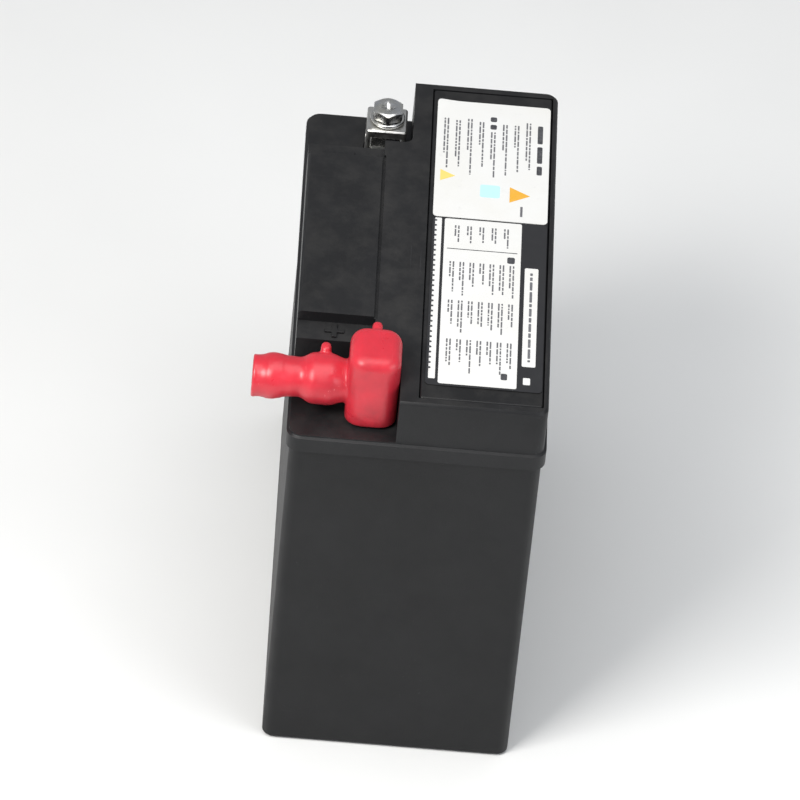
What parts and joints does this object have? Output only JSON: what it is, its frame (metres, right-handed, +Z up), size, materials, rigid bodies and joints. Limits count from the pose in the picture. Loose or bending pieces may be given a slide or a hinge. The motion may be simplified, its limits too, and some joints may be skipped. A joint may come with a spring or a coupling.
{
  "type": "motorcycle battery",
  "caption": "Sealed 12 V motorcycle battery with a stepped lid, corner terminals in notches, a flush valve cover under plain labels and a soft red cover on the positive terminal.",
  "frame": {"origin": "centre of the case's base, on the surface that it stands on", "axes": "+X along the length towards the positive terminal, -Y out of the front where the terminals are, +Z up"},
  "size_m": [0.175, 0.1, 0.1655],
  "materials": {
    "case_plastic": "satin",
    "lid_plastic": "satin",
    "label": "satin",
    "rubber": "matte",
    "boot_vinyl": "satin",
    "lead": "cast",
    "paste": "matte",
    "glass_mat": "matte",
    "tinned": "satin",
    "zinc": "bright",
    "epoxy": "gloss",
    "porous": "matte"
  },
  "bodies": {
    "battery": {"case": "case_plastic", "lid": "lid_plastic", "valve_cover": "lid_plastic", "flame_arrestor": "porous", "negative_plates_1": "lead", "negative_plates_2": "lead", "negative_plates_3": "lead", "negative_plates_4": "lead", "negative_plates_5": "lead", "negative_plates_6": "lead", "positive_plates_1": "paste", "positive_plates_2": "paste", "positive_plates_3": "paste", "positive_plates_4": "paste", "positive_plates_5": "paste", "positive_plates_6": "paste", "separator_1": "glass_mat", "separator_2": "glass_mat", "separator_3": "glass_mat", "separator_4": "glass_mat", "separator_5": "glass_mat", "separator_6": "glass_mat", "intercell_weld_1": "lead", "intercell_weld_2": "lead", "intercell_weld_3": "lead", "intercell_weld_4": "lead", "intercell_weld_5": "lead", "negative_post": "lead", "negative_seal": "epoxy", "negative_terminal": "tinned", "negative_nut": "zinc", "positive_post": "lead", "positive_seal": "epoxy", "positive_terminal": "tinned", "positive_nut": "zinc", "notice_label": "label", "rating_label": "label"},
    "valve_cap_1": {"valve_cap_1": "rubber"},
    "valve_cap_2": {"valve_cap_2": "rubber"},
    "valve_cap_3": {"valve_cap_3": "rubber"},
    "valve_cap_4": {"valve_cap_4": "rubber"},
    "valve_cap_5": {"valve_cap_5": "rubber"},
    "valve_cap_6": {"valve_cap_6": "rubber"},
    "negative_washer": {"negative_washer": "zinc"},
    "negative_bolt": {"negative_bolt": "zinc"},
    "positive_washer": {"positive_washer": "zinc"},
    "positive_bolt": {"positive_bolt": "zinc"},
    "positive_cover": {"positive_cover": "boot_vinyl"}
  },
  "joints": [
    {"name": "positive_cover_lift", "type": "slide", "parent": "battery", "child": "positive_cover", "axis": [0, 0, 1], "range_m": [0, 0.035]},
    {"name": "negative_washer_lift", "type": "slide", "parent": "battery", "child": "negative_washer", "axis": [0, 0, 1], "range_m": [0, 0.008]},
    {"name": "negative_bolt_turn", "type": "hinge", "parent": "negative_washer", "child": "negative_bolt", "pos_m": [-0.0705, -0.016, 0.1513], "axis": [0, 0, 1], "range_deg": [0, 2880]},
    {"name": "positive_washer_lift", "type": "slide", "parent": "battery", "child": "positive_washer", "axis": [0, 0, 1], "range_m": [0, 0.008]},
    {"name": "positive_bolt_turn", "type": "hinge", "parent": "positive_washer", "child": "positive_bolt", "pos_m": [0.0705, -0.016, 0.1513], "axis": [0, 0, 1], "range_deg": [0, 2880]},
    {"name": "valve_cap_1_lift", "type": "slide", "parent": "battery", "child": "valve_cap_1", "axis": [0, 0, 1], "range_m": [0, 0.0005], "stiffness_N_per_m": 200},
    {"name": "valve_cap_2_lift", "type": "slide", "parent": "battery", "child": "valve_cap_2", "axis": [0, 0, 1], "range_m": [0, 0.0005], "stiffness_N_per_m": 200},
    {"name": "valve_cap_3_lift", "type": "slide", "parent": "battery", "child": "valve_cap_3", "axis": [0, 0, 1], "range_m": [0, 0.0005], "stiffness_N_per_m": 200},
    {"name": "valve_cap_4_lift", "type": "slide", "parent": "battery", "child": "valve_cap_4", "axis": [0, 0, 1], "range_m": [0, 0.0005], "stiffness_N_per_m": 200},
    {"name": "valve_cap_5_lift", "type": "slide", "parent": "battery", "child": "valve_cap_5", "axis": [0, 0, 1], "range_m": [0, 0.0005], "stiffness_N_per_m": 200},
    {"name": "valve_cap_6_lift", "type": "slide", "parent": "battery", "child": "valve_cap_6", "axis": [0, 0, 1], "range_m": [0, 0.0005], "stiffness_N_per_m": 200}
  ],
  "couplings": [
    {"joint": "negative_washer_lift", "follows": "negative_bolt_turn", "m_per_rad": 0.000159},
    {"joint": "positive_washer_lift", "follows": "positive_bolt_turn", "m_per_rad": 0.000159}
  ]
}
